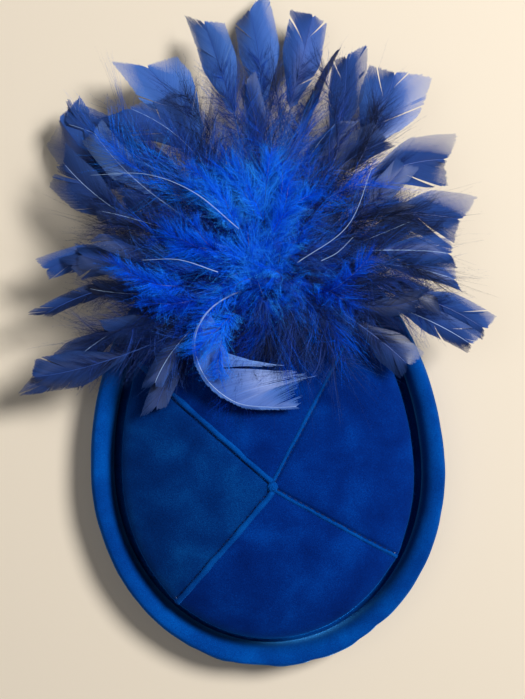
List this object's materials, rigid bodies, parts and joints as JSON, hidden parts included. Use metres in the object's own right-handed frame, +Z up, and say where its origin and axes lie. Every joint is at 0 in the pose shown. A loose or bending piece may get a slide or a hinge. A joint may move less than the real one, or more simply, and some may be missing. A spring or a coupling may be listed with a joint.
{
  "type": "cocktail hat",
  "caption": "Small velvet cocktail hat with a domed panelled crown, a padded turned-up brim and a burst of dyed feathers at one end; sprung clips inside hold it in the hair.",
  "frame": {"origin": "in the plane the brim rests on, at the widest point of the egg-shaped outline, midway between left and right", "axes": "+Z up out of the crown, +Y towards the feathered end, +X to the right seen from above with the feathers away from the viewer"},
  "size_m": [0.2035, 0.2984, 0.0582],
  "materials": {
    "velvet": "pile, royal blue",
    "padding": "soft",
    "buckram": "stiffened",
    "lining": "satin",
    "ribbon": "ribbed",
    "felt": "matte",
    "thread": "matte",
    "feather": "downy, satin tips",
    "wire": "drawn",
    "steel": "drawn",
    "clip_steel": "nickel plated"
  },
  "bodies": {
    "hat": {"crown_panel_front": "velvet", "crown_panel_rear": "velvet", "crown_panel_left": "velvet", "crown_panel_right": "velvet", "crown_seam_1": "velvet", "crown_seam_2": "velvet", "crown_seam_3": "velvet", "crown_seam_4": "velvet", "seam_knot": "velvet", "crown_padding": "padding", "crown_shell": "buckram", "crown_lining": "lining", "crown_side_band": "velvet", "ribbon_sweatband": "ribbon", "brim_velvet": "velvet", "brim_board": "buckram", "brim_foam": "padding", "brim_wire": "wire", "feather_patch": "felt", "feather_binding": "thread", "low_feather_01": "feather", "low_feather_02": "feather", "low_feather_03": "feather", "low_feather_04": "feather", "low_feather_05": "feather", "low_feather_06": "feather", "low_feather_07": "feather", "low_feather_08": "feather", "low_feather_09": "feather", "low_feather_10": "feather", "middle_feather_01": "feather", "middle_feather_02": "feather", "middle_feather_03": "feather", "middle_feather_04": "feather", "middle_feather_05": "feather", "middle_feather_06": "feather", "middle_feather_07": "feather", "middle_feather_08": "feather", "middle_feather_09": "feather", "middle_feather_10": "feather", "top_feather_01": "feather", "top_feather_02": "feather", "top_feather_03": "feather", "top_feather_04": "feather", "top_feather_05": "feather", "top_feather_06": "feather", "top_feather_07": "feather", "curled_feather": "feather", "centre_fluff": "feather", "right_clip_fixed_jaw": "clip_steel", "right_clip_pin": "steel", "right_clip_spring": "steel", "right_clip_stitches": "thread", "left_clip_fixed_jaw": "clip_steel", "left_clip_pin": "steel", "left_clip_spring": "steel", "left_clip_stitches": "thread"},
    "right_clip_jaw": {"right_clip_moving_jaw": "clip_steel"},
    "left_clip_jaw": {"left_clip_moving_jaw": "clip_steel"}
  },
  "joints": [
    {"name": "right_clip_hinge", "type": "hinge", "parent": "hat", "child": "right_clip_jaw", "pos_m": [0.05353, 0.01838, 0.008], "axis": [0, 0, 1], "range_deg": [0, 25], "stiffness_Nm_per_rad": 0.03, "springref_deg": -17.19},
    {"name": "left_clip_hinge", "type": "hinge", "parent": "hat", "child": "left_clip_jaw", "pos_m": [-0.05353, 0.01838, 0.008], "axis": [0, 0, 1], "range_deg": [0, 25], "stiffness_Nm_per_rad": 0.03, "springref_deg": -17.19}
  ]
}
